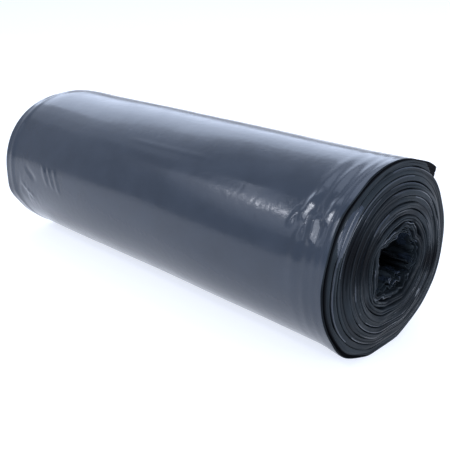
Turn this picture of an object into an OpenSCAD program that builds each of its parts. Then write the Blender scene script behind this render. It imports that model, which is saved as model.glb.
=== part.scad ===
// Roll of bin bags: one long web of folded bags, wound on itself with no core.
// A turn of the web stands for the layers of thin film that cling together and look like one.
// The roll lies along X, the end where the web's two lips show is at +X, and it rests on the plane z = 0.

/* [Web] */
// Width of the folded web
web_w = 325; // [220:5:420]
// Thickness of the folded web, film and trapped air
web_t = 3; // [2.4:0.1:3.6]
// Turns of the web, from the hollow out to the loose end
turns = 9.4; // [8.4:0.1:10.4]
// Air between one turn and the next, on average
turn_gap = 0.8; // [0.7:0.05:1.3]

/* [Hollow] */
// Width of the hollow that the winding spindle left
hollow_d = 44; // [38:1:56]
// How far the hollow lies off the middle, towards +Y
hollow_shift = 2; // [0:0.5:3]
// How far the hollow has sunk below the middle
hollow_sag = 1.5; // [0:0.25:2]

/* [Start of the web] */
// Stretch of the start that curls loosely inside the hollow, in degrees
start_curl = 170; // [90:5:200]
// Distance of the start's tip from the middle of the hollow
start_r = 9; // [8:0.5:12]
// Depth of the pleats in the first turns
pleat_d = 2.5; // [0:0.25:3]
// Number of pleats in one turn
pleats = 5; // [3:1:6]
// How far round the web the pleats fade out, in degrees
pleat_reach = 620; // [360:20:900]

/* [Ends of the roll] */
// How far the inner turns stand out of the +X end
stand_out = 4; // [0:0.5:6]
// How far the top and the bottom of the -X end draw in
far_draw = 3.5; // [0:0.25:5]
// How far its sides flare out
far_flare = 1; // [0:0.25:2]
// Length over which they do so
far_draw_l = 28; // [16:1:40]
// Depth of the groove between the web's two lips at +X
lip_groove = 2; // [0.8:0.1:2.5]
// How far the inner lip sits back from the outer one
lip_step = 0.6; // [0:0.1:0.7]

/* [Loose end] */
// Direction of the loose end, in degrees up from +Y
loose_angle = 49; // [20:1:80]
// How far the loose end lifts off the roll
loose_lift = 2.2; // [0:0.1:4]
// Stretch of the web that lifts with it, in degrees
loose_stretch = 22; // [15:1:45]
// How much further round its inner side reaches than its outer side, in degrees
loose_lean = 3; // [0:0.5:5]
// Slack of the outermost turn, which stands open only at the side towards -Y
outer_slack = 1.2; // [0:0.1:2]

/* [Rest] */
// Height of the roll as a share of its width, sagging under its own weight
squash = 0.95; // [0.9:0.005:1]
// Depth pressed flat where the roll rests
flat_d = 1.6; // [0.6:0.1:2]

/* [Hidden] */
film_colour = [0.21, 0.24, 0.28];
start_steps = 48;
wound_steps = 45;
slack_ramp = 90;
open_side = 195;
pitch = web_t + turn_gap;
half_t = web_t / 2;
wound = 360 * turns;
first_r = hollow_d / 2 + half_t;
lip_round = half_t * 0.7;
fold_round = half_t;

function smooth(t) = let (c = min(max(t, 0), 1)) c * c * (3 - 2 * c);

// A place on the web is its angle: 0 where the hollow's wall starts, less inside the hollow,
// and wound at the loose end
function direction(a) = loose_angle + wound - a;
function share(a) = max(a, 0) / wound;
function middle(a) = (1 - share(a)) * [hollow_shift, -hollow_sag];

function curl(a) = (first_r - start_r) * pow(max(-a, 0) / start_curl, 2);
function pleat(a) = pleat_d * (1 - smooth(a / pleat_reach)) * (1 - cos(pleats * direction(a))) / 2;
function slack(a) = outer_slack * smooth((a - (wound - 360 - slack_ramp)) / slack_ramp);
function lift(a) = loose_lift * smooth((a - (wound - loose_stretch)) / loose_stretch);
function web_r(a) = first_r + pitch * a / 360 - curl(a) - pleat(a) + slack(a) + lift(a);

// How much thicker the web is where its inner side lies on the turn below although its outer side is slack
function swell(a) =
    (slack(a) - slack(a - 360) + lift(a)) * (1 - pow(max(cos(direction(a) - open_side), 0), 2));

// How much further round the web than its outer side a point of the loose end lies
function lean(a, h) = loose_lean * smooth((a - wound) / (4 * loose_lean + 1) + 1) * (half_t - h) / web_t;

// Where the middle of the web's width lies along the roll: the inner turns stand out at +X
function along(a) = stand_out * (0.5 - smooth(2 * share(a) - 1));

// How much nearer to the axis the web runs at a place x along the roll, in direction d
function draw(x, d) =
    let (t = max(far_draw_l - (web_w + stand_out) / 2 - x, 0) / far_draw_l)
    t * t * ((far_draw + far_flare) * pow(abs(sin(d)), 6) - far_flare);

// Section of the web, as distance along the roll and distance out from the middle of its thickness
function section(a) = [
    for (p = [
        [web_w / 2 - lip_groove, 0],
        [web_w / 2, 0.5 * half_t],
        [web_w / 2 - lip_round, half_t],
        [far_draw_l - web_w / 2, half_t],
        [0.4 * far_draw_l - web_w / 2, half_t],
        [fold_round - web_w / 2, half_t],
        [-web_w / 2, 0.4 * half_t],
        [-web_w / 2, -0.4 * half_t],
        [fold_round - web_w / 2, -half_t],
        [0.4 * far_draw_l - web_w / 2, -half_t],
        [far_draw_l - web_w / 2, -half_t],
        [web_w / 2 - lip_step - lip_round, -half_t],
        [web_w / 2 - lip_step, -0.5 * half_t]
    ])
        p + [along(a), 0]
];

// Where a point lies that is rho from the middle of turn a, before the roll rests on anything
function free_y(a, rho) = middle(a)[0] + rho * cos(direction(a));
function free_z(a, rho) = squash * (middle(a)[1] + rho * sin(direction(a)));

// The lowest place of the turn that a is in
function bottom(a) = direction(0) - 270 + 360 * round((a - direction(0) + 270) / 360);
rest_a = bottom(wound - 180);
rest_z = free_z(rest_a, web_r(rest_a) + half_t) + flat_d;

// A turn is pressed flat under the roll, and nothing reaches below the resting plane
function rested_z(a, out, x) =
    let (low = free_z(bottom(a), web_r(bottom(a)) + out) + flat_d)
    max(free_z(a, web_r(a) + out - draw(x, direction(a))), low, rest_z);

// The two sides of the outermost turn lie equally far from y = 0
side_ys = [for (a = [wound - 360:4:wound]) free_y(a, web_r(a) + half_t)];
side_shift = -(max(side_ys) + min(side_ys)) / 2;

function web_point(place, p) =
    let (
        a = place + lean(place, p[1]),
        out = p[1] - swell(a) * (half_t - p[1]) / web_t
    ) [
        p[0],
        side_shift + free_y(a, web_r(a) + out - draw(p[0], direction(a))),
        rested_z(a, out, p[0]) - rest_z
    ];

// Places of the sections, closer together where the web is crumpled
start_count = ceil((start_curl + 360) / 360 * start_steps);
wound_count = ceil((turns - 1) * wound_steps);
places = concat(
    [for (i = [0:start_count - 1]) -start_curl + (start_curl + 360) * i / start_count],
    [for (i = [0:wound_count]) 360 + (wound - 360) * i / wound_count]
);

// Triangles between neighbouring sections, and across the web at its start and at its loose end
function side_faces(n, m) = [
    for (i = [0:n - 2], j = [0:m - 1])
        let (a = i * m + j, b = i * m + (j + 1) % m)
        each [[a, b, a + m], [b, b + m, a + m]]
];
function start_face(m) = concat(
    [[0, 2, 1], [0, m - 2, 2], [0, m - 1, m - 2]],
    [for (j = [2:(m - 3) / 2]) each [[j, m - j - 1, j + 1], [j, m - j, m - j - 1]]]
);
function end_face(n, m) = [for (t = start_face(m)) [for (k = [2, 1, 0]) (n - 1) * m + t[k]]];

module bag_roll() {
    rings = [for (a = places) [for (p = section(a)) web_point(a, p)]];
    n = len(rings);
    m = len(rings[0]);
    color(film_colour)
        polyhedron(
            points = [for (ring = rings) each ring],
            faces = concat(side_faces(n, m), start_face(m), end_face(n, m))
        );
}

bag_roll();
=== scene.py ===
# A roll of bin bags: one long folded web of polythene film, wound on itself without a core.
import math
import bmesh
import bpy
from mathutils import Matrix, Vector, noise


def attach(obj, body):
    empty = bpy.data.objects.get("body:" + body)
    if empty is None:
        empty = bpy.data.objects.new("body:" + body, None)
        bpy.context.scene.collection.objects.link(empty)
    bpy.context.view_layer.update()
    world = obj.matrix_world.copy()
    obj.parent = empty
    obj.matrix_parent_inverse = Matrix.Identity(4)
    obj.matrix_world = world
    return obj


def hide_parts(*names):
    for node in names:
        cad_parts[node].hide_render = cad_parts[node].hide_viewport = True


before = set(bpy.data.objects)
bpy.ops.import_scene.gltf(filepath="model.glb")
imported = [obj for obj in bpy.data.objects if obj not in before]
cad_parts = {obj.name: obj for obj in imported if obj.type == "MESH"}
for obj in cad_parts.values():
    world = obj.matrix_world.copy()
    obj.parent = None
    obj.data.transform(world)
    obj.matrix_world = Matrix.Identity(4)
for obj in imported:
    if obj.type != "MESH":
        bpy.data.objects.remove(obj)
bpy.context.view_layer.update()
mm = 0.001

# how the web is wound, in mm and degrees; an angle counts along the web, 0 where the hollow's wall starts
winding = {
    "webWidth": 325.0,
    "cadHalfThickness": 1.5,
    "pitch": 3.8,
    "turns": 9.4,
    "hollow": 44.0,
    "hollowShift": 2.0,
    "hollowSag": 1.5,
    "startCurl": 170.0,
    "startRadius": 9.0,
    "pleatDepth": 2.5,
    "pleats": 5,
    "pleatReach": 620.0,
    "standOut": 4.0,
    "farDraw": 3.5,
    "farFlare": 1.0,
    "farDrawLength": 28.0,
    "looseAngle": 49.0,
    "looseLift": 2.2,
    "looseStretch": 22.0,
    "looseLean": 3.0,
    "outerSlack": 1.2,
    "slackRamp": 90.0,
    "openSide": 195.0,
    "openShare": 0.15,  # of the slack there that stays a gap
    "squash": 0.95,
    "flatDepth": 1.6,
    "flatRound": 0.9,
    "outerRadius": 59.0,  # for lengths along the outermost turn
}
wound = 360 * winding["turns"]
halfWidth = winding["webWidth"] / 2
firstRadius = winding["hollow"] / 2 + winding["cadHalfThickness"]


def smooth(t):
    t = min(max(t, 0.0), 1.0)
    return t * t * (3 - 2 * t)


def bell(t):
    return math.exp(-t * t)


def softMax(a, b, reach):
    # the larger of two heights, with the corner between them rounded
    return max(a, b) + max(reach - abs(a - b), 0) ** 2 / (4 * reach)


def wave(x, y, z, scale=1.0):
    # smooth random waves between -1 and 1, the same each run; a bare number in a call keeps its waves apart
    # from the others
    return noise.noise(Vector((x / scale, y / scale, z / scale)))


def ringWave(direction, radius, z, scale=1.0):
    # waves that close up round the roll
    around = math.radians(direction)
    return wave(radius * math.cos(around), radius * math.sin(around), z, scale)


def directionOf(a):
    return winding["looseAngle"] + wound - a


def shareOf(a):
    return max(a, 0) / wound


def slackAt(a):
    return winding["outerSlack"] * smooth((a - (wound - 360 - winding["slackRamp"])) / winding["slackRamp"])


def liftAt(a):
    return winding["looseLift"] * smooth((a - (wound - winding["looseStretch"])) / winding["looseStretch"])


def standOutAt(a):
    # the inner turns stand out at +X
    return winding["standOut"] * (0.5 - smooth(2 * shareOf(a) - 1))


def openAt(a):
    # 1 where the slack outer turn stands off the turn below, at the side towards -Y
    return max(math.cos(math.radians(directionOf(a) - winding["openSide"])), 0) ** 2


def webRadius(a):
    w = winding
    curl = (firstRadius - w["startRadius"]) * (max(-a, 0) / w["startCurl"]) ** 2
    fade = 1 - smooth(a / w["pleatReach"])
    pleat = w["pleatDepth"] * fade * (1 - math.cos(math.radians(w["pleats"] * directionOf(a)))) / 2
    return firstRadius + w["pitch"] * a / 360 - curl - pleat + slackAt(a) + liftAt(a)


def swellAt(a):
    # how much thicker the web is where its inner side lies on the turn below although its outer side is slack
    return (slackAt(a) - slackAt(a - 360) + liftAt(a)) * (1 - winding["openShare"] * openAt(a))


def bottomOf(a):
    # the lowest place of the turn that a is in
    low = directionOf(0) - 270
    return low + 360 * math.floor((a - low) / 360 + 0.5)


def freeSide(a, radius):
    return winding["hollowShift"] * (1 - shareOf(a)) + radius * math.cos(math.radians(directionOf(a)))


def freeHeight(a, radius):
    middle = -winding["hollowSag"] * (1 - shareOf(a))
    return winding["squash"] * (middle + radius * math.sin(math.radians(directionOf(a))))


def outerSide(a):
    return freeSide(a, webRadius(a) + winding["cadHalfThickness"])


restAngle = bottomOf(wound - 180)
restHeight = freeHeight(restAngle, webRadius(restAngle) + winding["cadHalfThickness"]) + winding["flatDepth"]
# the two sides of the outermost turn lie equally far from y = 0
sides = [outerSide(a) for a in range(int(wound) - 360, int(wound) + 1, 4)]
sideShift = -(max(sides) + min(sides)) / 2

# creases and wrinkles pressed into the outermost turn, in mm from the near rim and in degrees
creases = {
    # degrees before the loose end where they start, and the stretch over which they rise
    "starts": (420.0, 16.0),
    "innerShare": 0.6,  # of a crease's height on the web's inner side
    "lumpHeight": 0.7,
    "lumpLength": 62.0,
    "lumpRadius": 40.0,
    "rippleHeight": 0.17,
    "rippleLength": 15.0,
    "rippleStretch": 0.25,  # longer along the roll than round it
    # ridges beside the near rim: mm from it, height, width
    "rimRidges": [(4.0, 0.5, 1.5), (8.5, 0.6, 1.9), (14.5, 0.55, 2.3), (23.0, 0.5, 3.2)],
    "rimRidgeMiddle": 143.0,
    "rimRidgeSpread": 47.0,
    "rimRidgeRadius": 30.0,
    # how far they wander and over what length, and their strength: least, middle, variation, its length
    "rimRidgeDrift": (1.6, 20.0),
    "rimRidgeStrength": (0.08, 0.8, 0.9, 9.0),
    "farRidge": (9.0, 0.5, 2.2),
    # corners and flats of the two rims: direction, spread, height
    "nearRim": [(141.0, 11.0, 1.5), (190.0, 16.0, -1.0), (230.0, 11.0, 2.3), (296.0, 12.0, -1.0),
                (0.0, 24.0, 1.2), (360.0, 24.0, 1.2), (45.0, 15.0, 1.3)],
    "nearRimReach": 11.0,
    "farRim": [(197.0, 9.0, 1.8)],
    "farRimReach": 11.0,
    # sharp folds of loose film: from and to (mm from the rim, direction), height, width
    "folds": [
        ((22.5, 129.0), (26.5, 147.0), 1.15, 3.4),
        ((5.0, 135.5), (12.0, 135.5), 0.6, 6.5),
        ((11.0, 138.0), (9.5, 146.0), 0.8, 4.2),
        ((17.5, 141.0), (14.0, 157.0), 1.3, 4.4),
        ((28.5, 140.0), (32.0, 152.0), 0.6, 2.6),
        ((270.5, 166.0), (263.5, 181.0), 0.5, 2.6),
        ((263.5, 166.0), (255.0, 182.0), 0.45, 2.4),
        ((255.0, 167.0), (247.5, 184.0), 0.4, 2.6),
        ((296.0, 171.0), (281.0, 181.0), -0.6, 4.0),
        ((303.0, 186.0), (289.0, 196.0), 0.5, 3.2),
    ],
    "foldDrift": (1.2, 6.0),
    "foldOverrun": 0.3,  # a fold fades out this share of its length beyond both its ends
    # a stretch beside the rim that is pulled flat: mm from the rim, reach, direction, half its angle, depth
    "facet": (12.5, 7.5, 147.0, 10.0, 0.8),
    # patches of small crumples: mm from the rim, reach, direction, spread, height, width
    "crumples": [(55.0, 24.0, 147.0, 9.0, 0.055, 2.8), (14.0, 12.0, 146.0, 14.0, 0.35, 5.0),
                 (298.0, 15.0, 192.0, 11.0, 0.4, 5.0)],
    "crumpleSharpness": 2.4,
    # a straight crease along the roll: direction, width in degrees, height, from, to, its slant and how it fades
    "longCrease": (127.6, 1.6, 0.22, 100.0, 190.0),
    "longCreaseSlant": 0.01,
    "longCreaseFade": 20.0,
}


def sleeveRelief(direction, fromRim, lengthwise):
    # height of the film above a smooth roll, and how far the rims are out of round
    c = creases
    radius = winding["outerRadius"]
    fromFarRim = winding["webWidth"] - fromRim
    height = c["lumpHeight"] * ringWave(direction, c["lumpRadius"], lengthwise, c["lumpLength"])
    height += c["rippleHeight"] * ringWave(direction, radius, c["rippleStretch"] * lengthwise, c["rippleLength"])
    # ridges that run beside the two rims
    spread = bell((direction - c["rimRidgeMiddle"]) / c["rimRidgeSpread"])
    wander, wanderLength = c["rimRidgeDrift"]
    least, usual, variation, variationLength = c["rimRidgeStrength"]
    for place, tall, width in c["rimRidges"]:
        drift = wander * ringWave(direction, c["rimRidgeRadius"], 7 * place, wanderLength)
        varied = variation * ringWave(direction, c["rimRidgeRadius"], 5 * place, variationLength)
        height += tall * (least + spread * (usual + varied)) * bell((fromRim - place - drift) / width)
    place, tall, width = c["farRidge"]
    height += tall * bell((fromFarRim - place) / width)
    # the rims' corners and flats, as far from them as they show
    turned = direction % 360
    near = bell(fromRim / c["nearRimReach"])
    far = bell(fromFarRim / c["farRimReach"])
    rim = 0.0
    if near > 0.01:
        rim += near * sum(tall * bell((turned - middle) / width) for middle, width, tall in c["nearRim"])
    if far > 0.01:
        rim += far * sum(tall * bell((turned - middle) / width) for middle, width, tall in c["farRim"])
    # folds: t runs from 0 to 1 along each
    arc = math.radians(direction) * radius
    foldWander, foldWanderLength = c["foldDrift"]
    for start, end, tall, width in c["folds"]:
        along = Vector((end[0] - start[0], math.radians(end[1] - start[1]) * radius))
        spot = Vector((fromRim - start[0], arc - math.radians(start[1]) * radius))
        t = spot.dot(along) / along.length_squared
        if -c["foldOverrun"] < t < 1 + c["foldOverrun"]:
            drift = foldWander * wave(fromRim, arc, tall * 40, foldWanderLength)
            aside = abs(spot.cross(along)) / along.length + drift
            height += tall * smooth(1.6 - abs(2 * t - 1) * 1.3) * max(1 - abs(aside) / width, 0)
    place, reach, middle, spread, deep = c["facet"]
    height -= deep * bell((fromRim - place) / reach) * max(1 - ((direction - middle) / spread) ** 2, 0)
    for place, reach, middle, spread, tall, width in c["crumples"]:
        window = bell((fromRim - place) / reach) * bell((direction - middle) / spread)
        if window > 0.02:
            folds = abs(wave(fromRim - 0.25 * arc, 0.4 * arc, place, width))
            height += tall * window * (1 - c["crumpleSharpness"] * folds)
    middle, width, tall, start, end = c["longCrease"]
    run = smooth((fromRim - start) / c["longCreaseFade"]) * smooth((end - fromRim) / c["longCreaseFade"])
    slant = c["longCreaseSlant"] * (fromRim - start)
    height += tall * run * bell((direction - middle - slant) / width)
    return height, rim


# the web's own section, near end at +X: lips of folded film, pressed together
edges = {
    # thicker than the CAD web by nearly the gap between its turns, so that the layers look pressed together
    "halfThickness": 1.87,
    "startHalfThickness": 0.45,
    "startOpens": 120.0,
    "lipRound": 0.45,
    "lipSquareness": 4.5,
    # the innermost layers lie more loosely: as far as here, and less and less over this many degrees
    "inner": (150.0, 900.0),
    # degrees of winding from the middle of the thickness out to its edge, for what runs on from turn to turn
    "halfTurn": 172.0,
    # the line between one turn's lip and the next: depth, width; "Waves" here and below tells how often a
    # pattern changes round the end, and over how many degrees of winding
    "seam": (0.9, 0.17),
    "seamWaves": (1.6, 230.0),
    "seamLeast": 0.2,
    # painted shade along the seam between turns
    "seamPaintedShade": 0.8,
    # a fainter line within a lip: depth, width, place; it wanders, and comes and goes
    "lines": [(0.45, 0.1, 0.0)],
    "lineDrift": (0.15, 60.0),
    "lineWaves": (1.3, 90.0),
    # painted shade in the fainter line
    "linePaintedShade": 0.6,
    # more lines between the layers, here and there: depth, width, degrees of winding from one to the next
    "strayLines": (0.3, 0.2, 105.0),
    "strayRing": 1.2,
    "strayWaves": (1.5, 260.0),
    # painted shade in the stray lines
    "strayPaintedShade": (0.45, 0.35),  # and this much more near the hollow
    # broad bands stand out and sit back: height, its loss near the hollow, and the painted shade where they sit back
    "bandHeight": 1.1,
    "bandLoss": 0.6,
    "bandWaves": (1.1, 520.0),
    "bandPaintedShade": 0.5,
    # how ragged the web's long edges are, in mm, and the lengths of their waves in degrees
    "unevenness": 0.32,
    "unevenLengths": (38.0, 13.0),
    "telescope": 0.5,
    "telescopeLength": 210.0,
    "farShare": 0.6,  # of all that at the far end
    "edgeReach": 30.0,  # how far from the edges the film's sides follow it, in mm
    # a layer's own face shows as a bright line: lowest and highest place in the thickness, and how seldom
    "faceLine": (0.5, 0.86, -0.02),
    # the next layers bulge out beside it: direction, spread, height, middle and half width in turns from outside
    "bulge": (156.0, 36.0, 1.5, 1.35, 1.05),
    # its taut, glossy part: direction, spread, place across it and half width
    "bulgeGloss": (145.0, 20.0, -0.1, 0.72),
    # more of the layers' faces shows here: direction, spread, first and last turn from outside
    "faceStretches": [(308.0, 11.0, 3.0, 5.6)],
    "faceStretchTop": 0.8,
    # stretches with painted shade: direction, spread, how dark, first and last turn from outside
    "paintedShadeStretches": [
        (157.0, 34.0, 0.95, 2.5, 8.0),
        (-12.0, 19.0, 0.95, 3.0, 7.6),
        (348.0, 19.0, 0.95, 3.0, 7.6),
        (262.0, 12.0, 0.6, 3.0, 5.0),
        (252.0, 42.0, 0.42, 0.9, 7.0),
        (100.0, 14.0, 0.45, 2.6, 3.6),
        (122.0, 12.0, 0.4, 4.5, 8.0),
        (300.0, 34.0, 0.5, 0.9, 8.5),
    ],
    # one thin edge is spared some of their painted shade: height in the thickness, width, how much
    "thinEdge": (0.66, 0.14, 0.5),
    # from how much painted shade a spot has the finish of stacked edges, and the shaded copy of that finish
    "stackedFrom": 0.4,
    "shadedCopyFrom": 0.6,
    # the far fold, and how many steps it is bent in
    "foldRound": 1.5,
    "foldSteps": 6,
    # painted shade on the hollow's wall: last place, fade, share at the mouth and depth where it is all dark
    "wallShade": (520.0, 150.0, 0.25, 14.0),
    "startShade": 40.0,
}


def halfThicknessAt(a):
    # the start opens into thin film
    opened = smooth(-a / edges["startOpens"])
    return (1 - opened) * edges["halfThickness"] + opened * edges["startHalfThickness"]


# behind the outermost film the turn's inner layers sit back, with painted shade in that gap; depths are in mm, and
# heights go from -1 to 1 through its thickness
gap = {
    "starts": (384.0, 30.0),  # degrees before the loose end, and the stretch over which it opens
    "depth": 2.6,
    "shallow": 0.7,
    "top": 0.82,
    "height": 0.14,
    "sideHeight": 0.42,  # how much wider it opens at the side towards -Y
    "tipHeight": 1.8,  # and at the loose end's tip
    # directions: where that side begins and ends, and where the gap closes under the roll, each with its fade
    "side": (72.0, 70.0, 236.0, 34.0),
    "under": (240.0, 34.0),
    "tip": (15.0, 13.0),
    "innerBlur": 0.16,
    "outerBlur": 0.1,
}


def gapSpot(h, a, direction):
    # how far the film's edge sits back in the gap, how much painted shade it gets there, and how far this spot is
    # inside it
    g = gap
    opened = smooth((a - (wound - g["starts"][0])) / g["starts"][1])
    if not opened:
        return 0.0, 0.0, 0.0
    rise, riseLength, fall, fallLength = g["side"]
    side = smooth((direction - rise) / riseLength) * (1 - smooth((direction - fall) / fallLength))
    tip = smooth((a - (wound - g["tip"][0])) / g["tip"][1])
    under = 1 - smooth((direction - g["under"][0]) / g["under"][1])
    low = g["top"] - g["height"] - g["sideHeight"] * side * under - g["tipHeight"] * tip
    below, above = (h - low) / g["innerBlur"], (g["top"] - h) / g["outerBlur"]
    inside = smooth(below + 0.5) * smooth(above + 0.5) * opened * under
    paintedShade = smooth(below + 1.2) * smooth(above + 0.9) * opened * under
    return (g["shallow"] + (g["depth"] - g["shallow"]) * side) * inside, paintedShade, inside


def lipSpot(h, a):
    # how far the film's edge sits back at height h in the thickness, -1 to 1, how much painted shade it gets there,
    # 0 to 1, and its finish: 0 is the film's own face, 1 its stacked edges, 2 a shaded copy of that in the gap and
    #                         under heavy painted shade
    e = edges
    direction = directionOf(a)
    turned = direction % 360
    inner = 1 - smooth((a - e["inner"][0]) / e["inner"][1])
    n = e["lipSquareness"]
    lipRound = e["lipRound"] * (1 - max(1 - abs(h) ** n, 0) ** (1 / n))
    # the end's slope and its bands run on from turn to turn
    spiral = a + e["halfTurn"] * h
    back = standOutAt(a) - standOutAt(spiral)
    often, length = e["bandWaves"]
    band = ringWave(direction, often, spiral / length)
    back -= e["bandHeight"] * (1 - e["bandLoss"] * inner) * band
    # how many turns lie outside this spot
    turn = (wound - spiral - (direction - winding["looseAngle"]) % 360) / 360 + 0.5
    bulgeMiddle, bulgeSpread, bulgeHeight, place, half = e["bulge"]
    across = (turn - place) / half
    # the taut part of the bulge has no lines
    middle, spread, place, half = e["bulgeGloss"]
    glossReach = 1 - ((turned - middle) / spread) ** 2
    glossAside = abs(across - place)
    taut = smooth(1.6 * glossReach) * smooth(1.5 - glossAside / half)
    back += lipRound * (1 - taut)
    # the line between one turn's lip and the next
    deep, width = e["seam"]
    belowSeam = a if h > 0 else a - 360
    often, length = e["seamWaves"]
    strength = smooth(0.4 + 2.3 * ringWave(direction, often, belowSeam / length))
    strength = e["seamLeast"] + (1 - e["seamLeast"]) * strength
    seam = bell((1 - abs(h)) / width)
    back += deep * seam * (strength + 0.6 * inner) * (1 - taut)
    # painted shade along the seam and where the bands sit back
    paintedShade = (1 - taut) * max(e["seamPaintedShade"] * seam * strength, e["bandPaintedShade"] * smooth(-2.4 * band))
    # the fainter ones
    often, length = e["lineWaves"]
    for deep, width, place in e["lines"]:
        drift = e["lineDrift"][0] * wave(a, 90 * place, 3, e["lineDrift"][1])
        strength = smooth(0.4 + 2 * ringWave(direction, often, a / length + 7 * place) + inner)
        line = bell((h - place - drift) / width) * strength * (1 - taut)
        back += deep * line * (1 + inner)
        # painted shade in the fainter line
        paintedShade = max(paintedShade, e["linePaintedShade"] * line * (0.4 + inner))
    deep, width, period = e["strayLines"]
    stray = bell(ringWave(direction, e["strayRing"], spiral / (period * (1 - 0.45 * inner))) / width)
    often, length = e["strayWaves"]
    strength = smooth(0.5 + 1.8 * ringWave(direction, often, spiral / length + 40) + 0.4 * inner)
    stray *= (1 - taut) * strength
    back += deep * stray
    # painted shade in the stray lines
    paintedShade = max(paintedShade, (e["strayPaintedShade"][0] + e["strayPaintedShade"][1] * inner) * stray)
    # the bulge, and where the film's own face shows
    finish = 1
    if abs(across) < 1:
        back -= bulgeHeight * bell((turned - bulgeMiddle) / bulgeSpread) * (1 - across * across)
        if glossAside < half * (glossReach + 0.3 * wave(a / 6, 3, turn)):
            finish = 0
    for middle, spread, first, last in e["faceStretches"]:
        if first < turn < last and 0 < h < e["faceStretchTop"]:
            if bell((turned - middle) / spread) > 0.5 + 0.9 * wave(a / 5, 3, 2 * turn):
                finish = 0
    low, high, seldom = e["faceLine"]
    if low < h < high and ringWave(direction, 1.4, a / 140 + 9) > seldom:
        finish = 0
    # painted shade in stretches round the end, and a duller finish where the painted shade is heavy
    place, width, bright = e["thinEdge"]
    thinEdge = 1 - bright * bell((h - place) / width) * smooth(0.8 + 2 * wave(a / 60, turn, 3))
    # painted shade in stretches round the end
    for middle, spread, strength, first, last in e["paintedShadeStretches"]:
        reach = smooth((turn - first) / 0.5 + 0.5) * (1 - smooth((turn - last) / 0.8 + 0.5))
        ragged = 1 + 0.8 * wave(turn * 1.4, middle, 5)
        paintedShade = max(paintedShade, strength * reach * thinEdge * bell((turned - middle) / (spread * ragged)))
    if paintedShade > e["stackedFrom"]:
        finish = 2 if paintedShade > e["shadedCopyFrom"] else 1
    # the gap's own painted shade
    gapBack, gapPaintedShade, inside = gapSpot(h, a, direction)
    back += gapBack
    paintedShade = max(paintedShade, gapPaintedShade)
    finish = 2 if inside > 0.05 else finish
    return back, paintedShade, finish


# loose film inside the hollow and in the first turns, in mm and in degrees of winding
looseFilm = {
    # it calms down from so many degrees before the hollow's wall, over this many
    "fades": (60.0, 760.0),
    # halfway along the roll it has this share of its height, which grows from so far from there, over this length
    "middleShare": 0.35,
    "mouths": (100.0, 55.0),
    "radius": 24.0,
    "broadHeight": 1.1,
    "broadLength": 8.5,
    "foldHeight": 0.8,
    "foldLength": 5.5,
    "foldSharpness": 2.4,
    # the curl inside the hollow is free, and pleated
    "freeFrom": (5.0, 45.0),
    "pleatHeight": 2.2,
    "pleatTurns": 13,
    "pleatDrift": 160.0,
}


def crumple(a, lengthwise):
    # how far the loose film stands off its smooth course
    f = looseFilm
    loose = 1 - smooth((a + f["fades"][0]) / f["fades"][1])
    if loose <= 0:
        return 0.0
    direction = directionOf(a)
    towardsMouth = smooth((abs(lengthwise) - f["mouths"][0]) / f["mouths"][1])
    mouth = f["middleShare"] + (1 - f["middleShare"]) * towardsMouth
    place = 0.004 * a + 0.3 * lengthwise
    sharp = 1 - f["foldSharpness"] * abs(ringWave(direction, f["radius"], place + 40, f["foldLength"]))
    folds = f["broadHeight"] * ringWave(direction, f["radius"], place, f["broadLength"]) + f["foldHeight"] * sharp
    free = smooth((-a - f["freeFrom"][0]) / f["freeFrom"][1])
    drift = f["pleatDrift"] * wave(a * 0.1, lengthwise * 0.2, 5, 6)
    pleats = math.sin(math.radians(a * f["pleatTurns"] + drift))
    return mouth * (loose * folds * (1 + free) + f["pleatHeight"] * free * pleats)


def rolled(a, x, h, edge, inwards=0.0):
    # a spot of the flat web, wound into its place on the roll: h is its height in the thickness, -1 to 1,
    # edge is 1 at the web's long edges, and inwards is how much nearer to the axis it lies than the web
    w, e, c = winding, edges, creases
    a += w["looseLean"] * smooth((a - wound) / (4 * w["looseLean"] + 1) + 1) * (1 - h) / 2
    direction = directionOf(a)
    share = shareOf(a)
    out = w["cadHalfThickness"] - halfThicknessAt(a) * (1 - h) - swellAt(a) * (1 - h) / 2
    place = x + standOutAt(a)
    if edge:
        # more ragged towards the hollow, and most in the loose start
        ragged = wave(a, 0, 11, e["unevenLengths"][0]) + 0.5 * wave(a, 0, 31, e["unevenLengths"][1])
        place += edge * e["unevenness"] * ragged * (2.2 - 1.6 * share + 3 * smooth(-a / 60))
        place += edge * e["telescope"] * wave(a, 0, 71, e["telescopeLength"])
    far = max(w["farDrawLength"] - (w["webWidth"] + w["standOut"]) / 2 - place, 0) / w["farDrawLength"]
    draw = far * far * ((w["farDraw"] + w["farFlare"]) * abs(math.sin(math.radians(direction))) ** 6 - w["farFlare"])
    radius = webRadius(a) + out - draw + crumple(a, place) - inwards
    creased = (a - (wound - c["starts"][0])) / c["starts"][1]
    if creased > 0:
        relief, rim = sleeveRelief(direction, halfWidth - x, place)
        outerShare = (1 + c["innerShare"]) / 2 + (1 - c["innerShare"]) / 2 * h
        radius += smooth(creased) * (relief * outerShare + rim * (1 + h) / 2)
    else:
        radius += c["lumpHeight"] * share * ringWave(direction, c["lumpRadius"], place, c["lumpLength"])
    low = freeHeight(bottomOf(a), webRadius(bottomOf(a)) + out) + w["flatDepth"]
    height = max(softMax(freeHeight(a, radius), low, w["flatRound"]), restHeight)
    return Vector((place, sideShift + freeSide(a, radius), height - restHeight)) * mm


def pieceFrom(bm, name):
    mesh = bpy.data.meshes.new(name)
    bm.to_mesh(mesh)
    bm.free()
    piece = bpy.data.objects.new(name, mesh)
    bpy.context.scene.collection.objects.link(piece)
    return piece


def sideShade(h, a, fromLip):
    # painted shade: the hollow gets darker from its mouth inwards, and the loose start is dark on both its sides
    last, fade, mouthShare, deep = edges["wallShade"]
    if h < 0:
        return smooth((last - a) / fade) * (mouthShare + (1 - mouthShare) * smooth(fromLip / deep))
    return smooth(-a / edges["startShade"])


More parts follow.
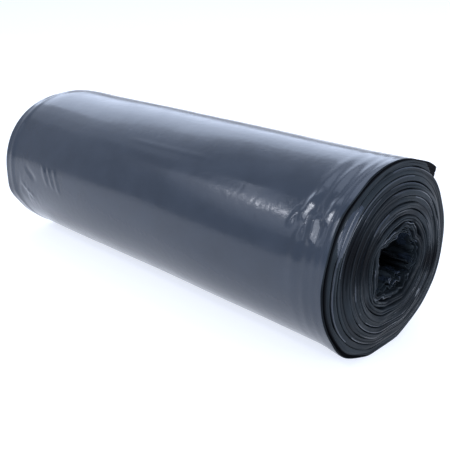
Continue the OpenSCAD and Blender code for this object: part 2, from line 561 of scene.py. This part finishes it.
def webPiece(name, start, end, steps, outerKnots, innerKnots, lipSteps):
    # a closed length of the web: a grid rolled round the section, then round the roll; the knots are where its
    # outer and its inner side are bent across
    e = edges
    spread = [2 * k / lipSteps - 1 for k in range(lipSteps + 1)]
    section = [("lip", (u + math.sin(math.pi * u / 2)) / 2) for u in spread]
    section += [("side", fromLip, 1) for fromLip in outerKnots]
    section += [("fold", math.radians(90 + 180 * k / e["foldSteps"])) for k in range(e["foldSteps"] + 1)]
    section += [("side", fromLip, -1) for fromLip in reversed(innerKnots)]
    bm = bmesh.new()
    shade = bm.verts.layers.float.new("shade")
    finish = bm.verts.layers.int.new("finish")
    bmesh.ops.create_grid(bm, x_segments=steps, y_segments=len(section), size=1)
    for v in bm.verts:
        a = start + (end - start) * (v.co.x + 1) / 2
        kind, *spot = section[round((v.co.y + 1) / 2 * len(section)) % len(section)]
        if kind == "lip":
            # the lip's painted shade goes into the shade attribute
            back, v[shade], v[finish] = lipSpot(spot[0], a)
            v.co = rolled(a, halfWidth - back, spot[0], 1)
        elif kind == "side":
            fromLip, h = spot
            lip = lipSpot(h, a)[0]
            x = halfWidth - (lip + fromLip * (1 - lip / winding["webWidth"]))
            # painted shade on the web's sides
            v[shade] = sideShade(h, a, fromLip)
            v[finish] = 1 if h < 0 or a < startEnd else 0
            ragged = smooth((abs(x) - halfWidth + e["edgeReach"]) / e["edgeReach"])
            v.co = rolled(a, x, h, ragged * (1 if x > 0 else e["farShare"]))
        else:
            turn = spot[0]
            x = -halfWidth + e["foldRound"] * (1 + math.cos(turn))
            v.co = rolled(a, x, math.sin(turn), e["farShare"])
    bmesh.ops.remove_doubles(bm, verts=bm.verts, dist=1e-6)
    rims = [edge for edge in bm.edges if edge.is_boundary]
    for edge in rims:
        edge.smooth = False
    caps = bmesh.ops.holes_fill(bm, edges=rims, sides=0)["faces"]
    bmesh.ops.triangulate(bm, faces=caps)
    bmesh.ops.recalc_face_normals(bm, faces=bm.faces)
    for face in bm.faces:
        face.smooth = len(face.verts) == 4  # the triangles are the two caps
        finishes = sorted(v[finish] for v in face.verts)
        face.material_index = finishes[len(finishes) // 2] if face.smooth else 1
    bm.verts.layers.int.remove(finish)
    return pieceFrom(bm, name)


# thin film that hangs and lies crumpled in the hollow, in mm
hollowLayers = {
    "thickness": 0.35,
    # first and last place along the web, how far it stands into the hollow, how far it sits back, depth and
    # length of its wrinkles
    "layers": [
        (196, 352, 4.0, 0.6, 1.2, 1.5),
        (200, 348, 7.5, 1.8, 1.7, 1.2),
        (206, 342, 10.5, 0.4, 2.0, 1.0),
        (214, 336, 13.0, 2.6, 2.2, 0.8),
        (14, 184, 1.0, 0.4, 0.2, 2.4),
        (20, 182, 2.1, 0.9, 0.25, 2.4),
        (26, 178, 3.2, 0.5, 0.3, 2.2),
        (34, 170, 4.3, 1.0, 0.4, 2.0),
        (-6, 66, 2.6, 1.0, 1.3, 0.9),
        (120, 214, 2.2, 0.8, 0.5, 1.6),
        (138, 242, 3.4, 2.4, 1.3, 0.9),
    ],
    "stepsRound": 90,
    "stepsAlong": 46,
    "edgeDepth": 0.9,  # how deep its edges are tucked into the wall
    "broad": (1.3, 2.2),  # height and length of its broad waves beside its sharp wrinkles
    "sharp": (2.6, 1.1),
    "sway": 1.2,
    # its painted shade: how dark it gets, how far from the mouth that starts, and over what depth
    "shade": (0.35, 6.0, 22.0),
    # gloss at the mouth: how deep, how seldom, size of its patches
    "gloss": (12.0, 0.15, 7.0),
}


def hollowPiece(name):
    layers = hollowLayers
    broad, broadLength = layers["broad"]
    sharp, sharpLength = layers["sharp"]
    darkest, shadeFrom, shadeDepth = layers["shade"]
    glossDepth, glossSeldom, glossSize = layers["gloss"]
    bm = bmesh.new()
    shade = bm.verts.layers.float.new("shade")
    for seed, (start, end, depth, back, folds, foldLength) in enumerate(layers["layers"]):
        sheet = bmesh.ops.create_grid(bm, x_segments=layers["stepsRound"], y_segments=layers["stepsAlong"], size=1)
        for v in sheet["verts"]:
            u = (v.co.x + 1) / 2
            a = start + (end - start) * u
            x = (halfWidth - 1 - back) * math.sin(math.pi / 2 * v.co.y)
            free = math.sin(math.pi * u) ** 0.5
            spot = (0.16 * a, 0.12 * x, 9 * seed)
            waves = broad * wave(*spot, broadLength * foldLength)
            wrinkle = folds * free * (waves + 1 - sharp * abs(wave(*spot, sharpLength * foldLength)))
            inwards = depth * free - layers["edgeDepth"] + wrinkle
            # painted shade, darker deeper in the hollow
            v[shade] = darkest * smooth((halfWidth - shadeFrom - x) / shadeDepth)
            sway = layers["sway"] * free * wave(0.3 * a, 5, seed, 3)
            v.co = rolled(a, x + sway, -1, 1 if x > 0 else edges["farShare"], inwards)
    bmesh.ops.solidify(bm, geom=bm.faces, thickness=layers["thickness"] * mm)
    bmesh.ops.recalc_face_normals(bm, faces=bm.faces)
    for face in bm.faces:
        face.smooth = True
        # glossy only here and there at the mouth, where the film lies smooth
        middle = face.calc_center_median() * 1000
        glossy = middle.x > halfWidth - glossDepth and wave(*middle, glossSize) > glossSeldom
        face.material_index = 0 if glossy else 1
    return pieceFrom(bm, name)


def knots(*stretches):
    # distances from the near lip: (from, to, step) for each stretch
    spots = []
    for start, end, step in stretches:
        count = max(round((end - start) / step), 1)
        spots += [start + (end - start) * k / count for k in range(count)]
    return spots + [stretches[-1][1]]


# where the first turns end and the outermost one starts, in degrees of winding, and how closely a piece is
# bent across
startEnd = 380
sleeveStart = wound - 404
coarse = knots((0.5, 12, 3.4), (12, 297, 95), (297, 323, 6))
crumpled = knots((0.5, 50, 2.4), (50, 275, 12), (275, 323, 4))
fine = knots((0.4, 84, 1.05), (84, 240, 4.6), (240, 323, 1.5))
print("winding the loose start")
looseStart = webPiece("looseStart", -winding["startCurl"], startEnd, steps=260,
                      outerKnots=crumpled, innerKnots=crumpled, lipSteps=24)
print("laying the loose film in the hollow")
hollowFilm = hollowPiece("hollowFilm")
print("winding the inner turns")
innerTurns = webPiece("innerTurns", startEnd, sleeveStart, steps=900,
                      outerKnots=coarse, innerKnots=coarse, lipSteps=40)
print("winding the outer turn")
outerTurn = webPiece("outerTurn", sleeveStart, wound, steps=400,
                     outerKnots=fine, innerKnots=coarse, lipSteps=30)


def linear(hexColour):
    parts = [int(hexColour[i:i + 2], 16) / 255 for i in (1, 3, 5)]
    return [c / 12.92 if c <= 0.04045 else ((c + 0.055) / 1.055) ** 2.4 for c in parts] + [1.0]


def addNode(tree, kind, settings=None, links=None):
    # one node, its values, and the outputs that feed its inputs
    node = tree.nodes.new(kind)
    for key, value in (settings or {}).items():
        if isinstance(key, int) or key in node.inputs:
            node.inputs[key].default_value = value
        else:
            setattr(node, key, value)
    for key, output in (links or {}).items():
        tree.links.new(output, node.inputs[key])
    return node


# low-density polythene film, blown and tinted dark slate
polythene = {
    "colour": "#232B36",
    "paleColour": "#2C3542",
    "roughness": 0.16,
    "specular": 0.42,
    "coat": 0.1,
    "coatRoughness": 0.06,
    "edgeColour": "#1D2327",
    "edgePaleColour": "#282F35",
    "edgeRoughness": 0.36,
    "edgeSpecular": 0.06,
    # the colour of the painted shade
    "paintedShadeColour": "#0B0C0F",
    "shadedCopyRoughness": 0.6,
    "shadedCopySpecular": 0.03,
    "ior": 1.51,
    "cloudScale": 55.0,  # clouds in the tint about 18 mm across
    "grainScale": 260.0,  # unevenness of the film about 4 mm across, 0.5 mm high
    "grainHeight": 0.0005,
    "grainStrength": 0.2,
}


def filmMaterial(name, colour, paleColour, roughness, settings):
    # blown film's tint is a little cloudy, and its gloss varies with the cloud
    material = bpy.data.materials.new(name)
    material.use_nodes = True
    tree = material.node_tree
    tree.nodes.clear()
    place = addNode(tree, "ShaderNodeTexCoord")
    cloud = addNode(tree, "ShaderNodeTexNoise",
                    {"Scale": polythene["cloudScale"], "Detail": 3.0, "Roughness": 0.55},
                    {"Vector": place.outputs["Object"]})
    tint = addNode(tree, "ShaderNodeMix", {"data_type": "RGBA", 6: linear(colour), 7: linear(paleColour)},
                   {0: cloud.outputs["Fac"]})
    # painted shade: the tint goes towards the shade colour between the layers and deep in the hollow
    shade = addNode(tree, "ShaderNodeAttribute", {"attribute_name": "shade"})
    depth = addNode(tree, "ShaderNodeMix", {"data_type": "RGBA", 7: linear(polythene["paintedShadeColour"])},
                    {0: shade.outputs["Fac"], 6: tint.outputs[2]})
    rough = addNode(tree, "ShaderNodeMapRange",
                    {"From Min": 0.3, "From Max": 0.7, "To Min": roughness - 0.04, "To Max": roughness + 0.08},
                    {"Value": cloud.outputs["Fac"]})
    grain = addNode(tree, "ShaderNodeTexNoise",
                    {"Scale": polythene["grainScale"], "Detail": 4.0, "Roughness": 0.6},
                    {"Vector": place.outputs["Object"]})
    bump = addNode(tree, "ShaderNodeBump",
                   {"Strength": polythene["grainStrength"], "Distance": polythene["grainHeight"]},
                   {"Height": grain.outputs["Fac"]})
    film = addNode(tree, "ShaderNodeBsdfPrincipled", settings,
                   {"Base Color": depth.outputs[2], "Roughness": rough.outputs["Result"],
                    "Normal": bump.outputs["Normal"]})
    addNode(tree, "ShaderNodeOutputMaterial", {}, {"Surface": film.outputs["BSDF"]})
    return material


print("finishing the film")
# the film's own face: glossy and a little cloudy
sleeveFilm = filmMaterial("slatePolytheneFilm", polythene["colour"], polythene["paleColour"],
                          polythene["roughness"],
                          {"IOR": polythene["ior"], "Specular IOR Level": polythene["specular"],
                           "Coat Weight": polythene["coat"], "Coat Roughness": polythene["coatRoughness"]})
# the same film where its edges are stacked: darker and less bright in its gloss, because the stack traps the light;
# it also stands where a spot carries some painted shade
stackedFilm = filmMaterial("stackedPolytheneEdges", polythene["edgeColour"], polythene["edgePaleColour"],
                           polythene["edgeRoughness"],
                           {"IOR": polythene["ior"], "Specular IOR Level": polythene["edgeSpecular"]})
# and a shaded copy of it, duller still, for painted shade deep in the gap between its layers and where the painted
# shade is heaviest
shadedCopyFilm = filmMaterial("shadedPolytheneCopy", polythene["edgeColour"], polythene["edgePaleColour"],
                        polythene["shadedCopyRoughness"],
                        {"IOR": polythene["ior"], "Specular IOR Level": polythene["shadedCopySpecular"]})

for piece in (looseStart, hollowFilm, innerTurns, outerTurn):
    piece.data.materials.append(sleeveFilm)
    piece.data.materials.append(stackedFilm)
    piece.data.materials.append(shadedCopyFilm)
    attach(piece, "root")
    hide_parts("bag_roll")

# a pale table lit from below and soft lights, in metres
studio = {
    "tableColour": "#A8A9AC",
    "tableRoughness": 0.9,
    "tableSpecular": 0.1,
    "tableGlowColour": "#EFF4FF",
    "tableGlow": 0.8,
    "tableSize": 14.0,
    "worldColour": "#E6EEFF",
    "worldStrength": 0.64,
    # name, colour, watts, width, height, place, aim, roll in degrees
    "lights": [
        ("overhead", "#DCE8FF", 53.0, 3.2, 3.6, (-0.2, 1.6, 3.0), (-0.2, 1.6, 0.0), 0.0),
        ("backPanel", "#D8E6FF", 6.0, 1.6, 0.8, (-1.1, 0.9, 0.75), (0.0, 0.0, 0.06), 0.0),
        ("backPanelRim", "#D8E6FF", 2.1, 1.88, 1.0, (-1.155, 0.764, 0.84), (0.0, 0.0, 0.06), 0.0),
        ("backPanelHalo", "#D8E6FF", 3.1, 2.16, 1.14, (-1.22, 0.636, 0.903), (0.0, 0.0, 0.06), 0.0),
        ("endPanel", "#EAF1FF", 9.0, 0.6, 0.84, (1.28, -0.16, 0.56), (0.161, -0.044, 0.085), 45.0),
        ("frontPanel", "#EAF1FF", 6.0, 0.8, 0.6, (0.05, -0.95, 0.85), (0.1, 0.0, 0.06), 0.0),
        ("frontGlint", "#F4F7FF", 1.9, 0.3, 0.16, (0.06, -0.8, 0.95), (0.13, -0.04, 0.09), 0.0),
        ("leftPanel", "#E2EBFF", 0.2, 0.36, 0.06, (-0.685, -0.556, 0.886), (0.104, -0.046, 0.09), -38.0),
        ("leftGlow", "#E2EBFF", 0.42, 0.62, 0.3, (-0.70, -0.80, 0.66), (0.104, -0.046, 0.09), -38.0),
        ("leftGlowMiddle", "#E2EBFF", 0.16, 0.46, 0.16, (-0.70, -0.78, 0.69), (0.104, -0.046, 0.09), -38.0),
        ("leftStrip", "#F2F5FF", 0.4, 0.055, 0.075, (-0.645, -0.730, 0.786), (0.117, -0.05, 0.09), -38.0),
    ],
}
print("setting up the studio")
bm = bmesh.new()
bmesh.ops.create_grid(bm, x_segments=1, y_segments=1, size=studio["tableSize"])
floor = pieceFrom(bm, "floor")
# a pale acrylic table lit from below, as for catalogue pictures: nearly no shadow
floorMaterial = bpy.data.materials.new("litAcrylicTable")
floorMaterial.use_nodes = True
acrylic = floorMaterial.node_tree.nodes["Principled BSDF"]
acrylic.inputs["Base Color"].default_value = linear(studio["tableColour"])
acrylic.inputs["Roughness"].default_value = studio["tableRoughness"]
acrylic.inputs["Specular IOR Level"].default_value = studio["tableSpecular"]
acrylic.inputs["Emission Color"].default_value = linear(studio["tableGlowColour"])
acrylic.inputs["Emission Strength"].default_value = studio["tableGlow"]
floor.data.materials.append(floorMaterial)

world = bpy.data.worlds.new("studioWorld")
bpy.context.scene.world = world
world.use_nodes = True
background = world.node_tree.nodes["Background"]
background.inputs["Color"].default_value = linear(studio["worldColour"])
background.inputs["Strength"].default_value = studio["worldStrength"]

for name, colour, power, width, height, spot, aim, roll in studio["lights"]:
    light = bpy.data.lights.new(name, "AREA")
    light.color = linear(colour)[:3]
    light.shape = "RECTANGLE"
    light.energy, light.size, light.size_y = power, width, height
    lamp = bpy.data.objects.new(name, light)
    lamp.location = spot
    facing = (Vector(aim) - Vector(spot)).to_track_quat("-Z", "Y").to_matrix()
    lamp.rotation_euler = (facing @ Matrix.Rotation(math.radians(roll), 3, "Z")).to_euler()
    lamp.visible_camera = False
    bpy.context.scene.collection.objects.link(lamp)

# the camera, from the photograph's perspective: its place counts from the near end, in radii of the roll
view = {
    "lens": 56.8,
    "sensor": 36.0,
    "nearEnd": (160.5, -0.6, 55.7),
    "radius": 59.0,
    "offset": (3.337, -5.497, 2.703),
    "right": (0.7025, 0.7118, 0.0),
    "up": (-0.2495, 0.2462, 0.9366),
    "back": (0.6666, -0.6580, 0.3505),
}
print("placing the camera")
cameraData = bpy.data.cameras.new("camera")
cameraData.lens = view["lens"]
cameraData.sensor_width = view["sensor"]
camera = bpy.data.objects.new("camera", cameraData)
spot = (Vector(view["nearEnd"]) + view["radius"] * Vector(view["offset"])) * mm
turned = Matrix((view["right"], view["up"], view["back"])).transposed()
camera.matrix_world = Matrix.Translation(spot) @ turned.to_4x4()
bpy.context.scene.collection.objects.link(camera)
bpy.context.scene.camera = camera
bpy.context.scene.view_settings.view_transform = "Standard"
